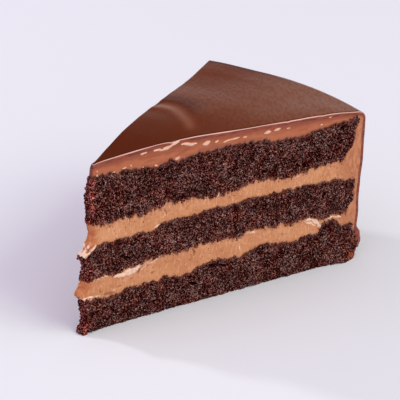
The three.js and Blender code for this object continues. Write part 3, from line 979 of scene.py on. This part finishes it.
class Tree:
    """The nodes of a material or of the world."""

    def __init__(self, owner, place):
        self.owner = owner
        owner.use_nodes = True
        self.nodes, self.links = owner.node_tree.nodes, owner.node_tree.links
        self.place = self.node("ShaderNodeTexCoord", {}, {}, place)

    def node(self, kind, settings, sockets, output=0):
        """A new node with its settings and the values or links of its sockets."""
        made = self.nodes.new(kind)
        for name, value in settings.items():
            if name == "stops":
                self.set_stops(made.color_ramp, value)
            else:
                setattr(made, name, value)
        for name, value in sockets.items():
            self.feed(made.inputs[name], value)
        return Wire(self, made.outputs[output])

    def feed(self, socket, value):
        if isinstance(value, Wire):
            self.links.new(value.socket, socket)
        else:
            socket.default_value = value

    @staticmethod
    def set_stops(ramp, stops):
        while len(ramp.elements) < len(stops):
            ramp.elements.new(0.5)
        for element, (position, colour) in zip(ramp.elements, stops):
            element.position, element.color = position, (*colour, 1)

    def ramp(self, value, stops):
        return self.node("ShaderNodeValToRGB", {"stops": stops}, {"Fac": value}, "Color")

    def range(self, value, low, high, to_low=0.0, to_high=1.0):
        return self.node("ShaderNodeMapRange", {"interpolation_type": "SMOOTHSTEP"},
                         {"Value": value, "From Min": low, "From Max": high,
                          "To Min": to_low, "To Max": to_high})

    def mix(self, first, second, share, blend="MIX"):
        first, second = (c if isinstance(c, Wire) else (*c, 1) for c in (first, second))
        return self.node("ShaderNodeMix", {"data_type": "RGBA", "blend_type": blend},
                         {0: share, 6: first, 7: second}, 2)


class Finish(Tree):
    """A material's nodes around one Principled shader, with its plain values set on it."""

    def __init__(self, name, **constants):
        super().__init__(bpy.data.materials.new(name), "Object")
        self.shader = self.nodes["Principled BSDF"]
        self.done(**constants)

    def noise(self, size, detail=2.0, roughness=0.5, stretch=None, twist=0.0, place=None):
        """From 0 to 1, in patches of about the given size in millimetres, drawn out by a twist."""
        place = place or self.place
        if stretch:
            place = self.node("ShaderNodeVectorMath", {"operation": "MULTIPLY"},
                              {0: place, 1: stretch})
        return self.node("ShaderNodeTexNoise", {},
                         {"Vector": place, "Scale": 1 / (size * MM), "Detail": detail,
                          "Roughness": roughness, "Distortion": twist})

    def painted(self, name):
        return self.node("ShaderNodeAttribute", {"attribute_name": name}, {}, "Fac")

    def beside(self, seam, reach):
        """From 1 on a seam to 0 at the given share of a smear's reach."""
        return 1 - self.range(self.painted(seam), 0.0, reach)

    def over(self, colour, *coats):
        """Coats laid over a colour one after another, each with how much of it covers."""
        for coat, share in coats:
            colour = self.mix(colour, coat, share)
        return colour

    def tinted(self, colour, first, second, share):
        """A colour multiplied by a tint that goes from the first to the second."""
        return self.mix(colour, self.mix(first, second, share), 1.0, "MULTIPLY")

    def with_smear_highlights(self, colour):
        """Painted highlights on wet smears, each with an amber edge, and how much highlight each
        place has.
        """
        wet = self.painted("wet")
        pale = self.range(wet, 0.18, 0.5)
        return self.over(colour, ((0.58, 0.17, 0.070), self.range(wet, 0.0, 0.25)),
                         ((0.79, 0.485, 0.365), pale * 0.95)), pale

    def bump(self, height, distance, strength):
        return self.node("ShaderNodeBump", {},
                         {"Height": height, "Distance": distance * MM, "Strength": strength})

    def done(self, **sockets):
        for name, value in sockets.items():
            self.feed(self.shader.inputs[name.replace("_", " ")], value)
        return self.owner


# The crumb's colours from dark to light: low painted relief picks the dark end, as painted shade in
# the pores.
CRUMB_TONES = ((0.0, (0.0115, 0.0003, 0.0001)), (0.3, (0.020, 0.0005, 0.0002)),
               (0.5, (0.047, 0.0052, 0.0028)), (0.7, (0.105, 0.0225, 0.0170)),
               (0.82, (0.215, 0.086, 0.074)), (1.0, (0.50, 0.31, 0.28)))


def make_sponge_finish():
    skin = Finish("dark sponge crumb", IOR=1.45, Specular_IOR_Level=0.0)
    speck = skin.noise(0.33, 1.5, 0.5, twist=1.0)
    grain = skin.noise(0.9, 2, 0.6)
    clump = skin.noise(3.2, 2, 0.5)
    # The tone falls where the painted relief is low, as painted shade in the pores, mixed with
    # random specks and clumps.
    tone = skin.painted("relief") * 0.75 + speck * 3.1 + grain + clump * 0.6 - 2.505
    patch = skin.range(skin.noise(4.0, 3, 0.6), 0.40, 0.60)
    fleck = skin.range(skin.noise(0.7, 2), 0.38, 0.62)
    colour = skin.ramp(tone, CRUMB_TONES)
    colour = skin.tinted(colour, (1.18, 0.84, 0.78), (0.96, 1.02, 1.06), patch)
    colour = skin.tinted(colour, (0.97, 1.12, 0.95), (1.04, 0.86, 0.97), fleck)
    # Painted glints: sparse light specks in the base colour stand in for highlights on moist crumb.
    glint = skin.range(skin.noise(0.5, 1, 0.4), 0.65, 0.71)
    colour = skin.mix(colour, (0.40, 0.25, 0.24), glint * 0.8)
    # Painted light: the sponge's tip face is brightened.
    colour = skin.mix(colour, (1.95, 1.33, 1.27), skin.painted("tip"), "MULTIPLY")
    damp = skin.beside("below_cream", 0.7) * skin.range(grain, 0.3, 0.6)
    drag = skin.noise(0.55, 2, 0.6, stretch=(1.0, 1.0, 0.4))
    low_smear = skin.range(drag - skin.painted("above_cream") * 0.3, 0.42, 0.54)
    high_smear = skin.range(speck - skin.painted("below_cream") * 0.45, 0.44, 0.56)
    stain = skin.range(skin.painted("stain") + speck * 1.2, 0.75, 1.15)
    colour = skin.over(colour, ((0.105, 0.046, 0.046), damp * 0.55),
                       ((0.33, 0.090, 0.045), low_smear * 0.8),
                       ((0.28, 0.085, 0.050), high_smear * 0.7),
                       ((0.32, 0.070, 0.026), stain * 0.75))
    shine = skin.range(grain, 0.35, 0.65, 0.4, 0.8)
    return skin.done(Base_Color=colour, Roughness=shine, Normal=skin.bump(speck, 0.3, 0.8))


def make_cream_finish():
    skin = Finish("light chocolate buttercream", IOR=1.45, Specular_IOR_Level=0.4,
                  Subsurface_Weight=0.12, Subsurface_Radius=(1.0, 0.5, 0.25),
                  Subsurface_Scale=0.002)
    grain = skin.noise(0.6, 3, 0.65)
    drag = skin.noise(0.55, 2, 0.6, stretch=(1.0, 1.0, 0.3))
    mottle = skin.noise(1.5, 3, 0.65)
    cloud = skin.range(skin.noise(7, 4, 0.6), 0.3, 0.7)
    speck = skin.range(skin.noise(0.9, 1, 0.4), 0.70, 0.78)
    torn_edge = skin.mix((0.26, 0.060, 0.028), (0.66, 0.29, 0.15), skin.range(drag, 0.42, 0.56))
    fleck = skin.noise(0.8, 2, 0.6) - skin.painted("below_crumb") * 0.22
    crumbs = skin.range(grain - skin.painted("above_crumb") * 0.6, 0.36, 0.5)
    colour = skin.over(
        skin.mix((0.55, 0.208, 0.084), (0.66, 0.285, 0.128), cloud),
        ((0.80, 0.42, 0.245), skin.range(drag, 0.50, 0.70) * 0.6),
        ((0.45, 0.150, 0.060), skin.range(mottle, 0.50, 0.70) * 0.6),
        ((0.50, 0.178, 0.077), skin.painted("rim")),
        # Painted shade: darker amber mottling on the tip face.
        ((0.49, 0.130, 0.034), skin.painted("tip") * skin.range(mottle, 0.28, 0.52) * 0.9),
        ((0.26, 0.08, 0.035), speck * 0.5),
        (torn_edge, skin.beside("below_crumb", 0.55) * 0.85),
        ((0.33, 0.085, 0.032), skin.range(fleck, 0.50, 0.57) * 0.8),
        ((0.33, 0.105, 0.040), skin.painted("brown") * 0.85),
        ((0.33, 0.105, 0.050), skin.beside("above_crumb", 0.5) * 0.6),
        ((0.13, 0.042, 0.028), crumbs * 0.8),
        # Painted highlights on the dragged ridges and the squeezed lumps.
        ((0.93, 0.63, 0.49), skin.range(skin.painted("pale"), 0.05, 0.55) * 0.9))
    return skin.done(Base_Color=colour, Roughness=skin.range(grain, 0.3, 0.7, 0.42, 0.6),
                     Normal=skin.bump(grain + drag, 0.10, 0.8))


def make_icing_finish():
    skin = Finish("milk-chocolate icing", IOR=1.45, Specular_IOR_Level=0.35,
                  Subsurface_Weight=0.1, Subsurface_Radius=(1.0, 0.45, 0.2),
                  Subsurface_Scale=0.0015)
    smear = skin.noise(2.6, 3, 0.6, stretch=(0.3, 0.3, 1.5))
    near_glaze = skin.range(skin.painted("outer") + smear * 0.6, 0.7, 1.3)
    drag = skin.noise(1.1, 3, 0.6, stretch=(1.0, 1.0, 0.35))
    side = skin.mix((0.43, 0.142, 0.058), (0.58, 0.228, 0.110), skin.range(drag, 0.35, 0.65))
    streaks = skin.range(smear, 0.48, 0.7) * (0.65 - skin.painted("side") * 0.5)
    grain = skin.noise(0.6, 3, 0.6)
    crumbs = skin.range(grain - skin.painted("above_crumb") * 0.7, 0.36, 0.5)
    bruise = skin.range(skin.painted("bruise") + smear * 0.4, 0.2, 0.8)
    colour = skin.over(
        skin.mix((0.45, 0.130, 0.054), (0.27, 0.060, 0.027), near_glaze),
        (side, skin.painted("side")),
        ((0.36, 0.078, 0.026), streaks),
        # Painted shade: the icing's tip face is darkened.
        ((0.22, 0.045, 0.022), skin.painted("tip")),
        ((0.16, 0.062, 0.050), skin.beside("above_crumb", 0.45) * 0.65),
        ((0.085, 0.035, 0.034), crumbs * 0.85),
        ((0.21, 0.055, 0.034), bruise * 0.4))
    colour, wet = skin.with_smear_highlights(colour)
    return skin.done(Base_Color=colour, Roughness=0.42 - wet * 0.2,
                     Normal=skin.bump(grain, 0.06, 0.6))


def make_glaze_finish():
    skin = Finish("chocolate glaze", IOR=1.5)
    cloud = skin.noise(14, 3, 0.5, stretch=(0.4, 1.0, 1.0))
    reach = skin.painted("reach")
    along_knife = skin.node("ShaderNodeMapping", {"vector_type": "TEXTURE"},
                            {"Vector": skin.place, "Rotation": (0, 0, math.radians(37)),
                             "Scale": (3.0, 1.0, 1.0)})
    ripple = skin.noise(1.1, 1, 0.4, place=along_knife)
    rippled = skin.range(reach, 0.35, 0.5)
    smear = skin.noise(1.4, 3, 0.6, stretch=(0.3, 0.3, 1.5))
    lumps = skin.mix((0.16, 0.046, 0.029), (0.46, 0.19, 0.125), skin.range(smear, 0.40, 0.58))
    # The cut faces are lighter and redder than the top: partly icing smeared on by the knife, partly
    # painted light where the cuts face the lamps.
    edge = skin.mix((0.14, 0.014, 0.004), (0.285, 0.050, 0.018), skin.range(smear, 0.35, 0.65))
    # Painted reflection on the top: lighter from the tip towards the rim and in the sheen zone,
    # darker and redder on the far side, with a painted sheen along the fold; painted shade behind
    # the fold, along the far edge and beside the lip.
    colour = skin.over(
        skin.mix((0.104, 0.0165, 0.0045), (0.200, 0.048, 0.018),
                 skin.range(reach + cloud * 0.3, 0.25, 1.0)),
        ((0.250, 0.098, 0.062), skin.painted("haze") * 0.9),
        ((0.150, 0.026, 0.008), skin.painted("far") * 0.9),
        ((0.110, 0.019, 0.007), skin.range(ripple, 0.42, 0.62) * rippled * 0.3),
        ((0.085, 0.010, 0.002), skin.painted("shade")),
        ((0.060, 0.008, 0.006), skin.painted("far_edge") * 0.8),
        ((0.255, 0.073, 0.034), skin.painted("thin") * 0.9),
        ((0.070, 0.009, 0.004), skin.painted("beside_lip") * 0.8),
        (lumps, skin.painted("foot")),
        (edge, skin.painted("cut")))
    colour, _ = skin.with_smear_highlights(colour)
    # A painted highlight along the rounded lip of the cut.
    colour = skin.mix(colour, (0.86, 0.46, 0.36), skin.painted("lip") * 0.95)
    shine = skin.range(skin.noise(1.2, 2), 0.3, 0.7, 0.13, 0.19)
    shine = shine + skin.painted("lip") * 0.2 + skin.painted("far_edge") * 0.25
    return skin.done(Base_Color=colour, Roughness=shine,
                     Normal=skin.bump(ripple * rippled, 0.10, 0.9))


sponge_finish = make_sponge_finish()
cream_finish = make_cream_finish()
icing_finish = make_icing_finish()
glaze_finish = make_glaze_finish()

# ---------------------------------------------------------------- studio

# The camera: aimed at a point of the slice, from this direction and distance.
AIM = Vector((14.39, 6.95, 22.83)) * MM
AZIMUTH = math.radians(-52.61)
ELEVATION = math.radians(25.39)
ROLL = math.radians(2.443)
DISTANCE = 825.2 * MM
LENS = 206.4
SENSOR_WIDTH = 36


def add_camera():
    bpy.ops.object.camera_add()
    camera = bpy.context.active_object
    back = Vector((math.sin(AZIMUTH) * math.cos(ELEVATION),
                   -math.cos(AZIMUTH) * math.cos(ELEVATION), math.sin(ELEVATION)))
    right = Vector((math.cos(AZIMUTH), math.sin(AZIMUTH), 0))
    up = back.cross(right)
    side = math.cos(ROLL) * right + math.sin(ROLL) * up
    top = math.cos(ROLL) * up - math.sin(ROLL) * right
    turn = Matrix((side, top, back)).transposed().to_4x4()
    camera.matrix_world = Matrix.Translation(AIM + back * DISTANCE) @ turn
    camera.data.sensor_width = SENSOR_WIDTH
    camera.data.lens = LENS
    camera.data.clip_start, camera.data.clip_end = 0.05, 30
    bpy.context.scene.camera = camera


# Soft lights: name, azimuth and elevation as seen from the slice, distance, width and height,
# power, and colour.
SOFTBOXES = [
    ("key", -82, 44, 1.6, (1.1, 0.7), 10.2, (0.84, 1.0, 0.66)),
    ("back", 106.5, 27, 1.3, (0.12, 0.12), 4.6, (0.96, 1.0, 1.0)),
]


def add_softbox(name, azimuth, elevation, distance, size, power, colour):
    flat = math.cos(math.radians(elevation))
    way = Vector((flat * math.cos(math.radians(azimuth)), flat * math.sin(math.radians(azimuth)),
                  math.sin(math.radians(elevation))))
    bpy.ops.object.light_add(type="AREA", location=AIM + way * distance,
                             rotation=way.to_track_quat("Z", "Y").to_euler())
    light = bpy.context.active_object
    light.name = name
    light.data.shape = "RECTANGLE"
    light.data.size, light.data.size_y = size
    light.data.energy = power
    light.data.color = colour


FLOOR_SIZE = 12


def add_floor():
    deselect()
    bpy.ops.mesh.primitive_plane_add(size=FLOOR_SIZE, location=(0, 0, 0))
    floor = bpy.context.active_object
    floor.name = "studio_floor"
    skin = Finish("pale studio floor", Roughness=0.7, Specular_IOR_Level=0.2)
    tone = skin.noise(900, 1)
    floor.data.materials.append(
        skin.done(Base_Color=skin.mix((0.82, 0.81, 0.86), (0.84, 0.83, 0.875), tone)))


# What the studio gives off by the sine of the height above the horizon, in front and behind.
FRONT_LIGHT = ((0.0, (0.86, 0.85, 0.92)), (0.08, (0.84, 0.80, 0.92)), (0.5, (0.86, 0.79, 0.97)),
               (1.0, (0.94, 0.86, 1.03)))
BACK_LIGHT = ((0.0, (0.86, 0.85, 0.92)), (0.1, (0.52, 0.48, 0.47)), (0.2, (0.30, 0.26, 0.235)),
              (0.3, (0.13, 0.110, 0.10)), (0.4, (0.03, 0.026, 0.03)), (0.75, (0.03, 0.026, 0.03)),
              (1.0, (0.9, 0.83, 1.0)))
STUDIO_FRONT = (-0.64, -0.64, 0.42)
STUDIO_STRENGTH = 0.95


def add_world():
    """A studio that is bright in front, overhead and low down, and dim behind."""
    world = bpy.data.worlds.new("studio")
    bpy.context.scene.world = world
    air = Tree(world, "Generated")
    height = air.node("ShaderNodeSeparateXYZ", {}, {0: air.place}, "Z")
    facing_front = air.node("ShaderNodeVectorMath", {"operation": "DOT_PRODUCT"},
                            {0: air.place, 1: STUDIO_FRONT}, "Value")
    light = air.mix(air.ramp(height, BACK_LIGHT), air.ramp(height, FRONT_LIGHT),
                    air.range(facing_front, -0.45, 0.1))
    background = air.nodes["Background"]
    air.feed(background.inputs["Color"], light)
    air.feed(background.inputs["Strength"], STUDIO_STRENGTH)


for row in SPONGES:
    sponge(*row)
for row in FILLINGS:
    filling(*row)
icing()
glaze()
crumbs_on_sponge()
crumbs_on_cream()
add_floor()
add_world()
for softbox in SOFTBOXES:
    add_softbox(*softbox)
add_camera()
bpy.context.scene.view_settings.view_transform = "Standard"
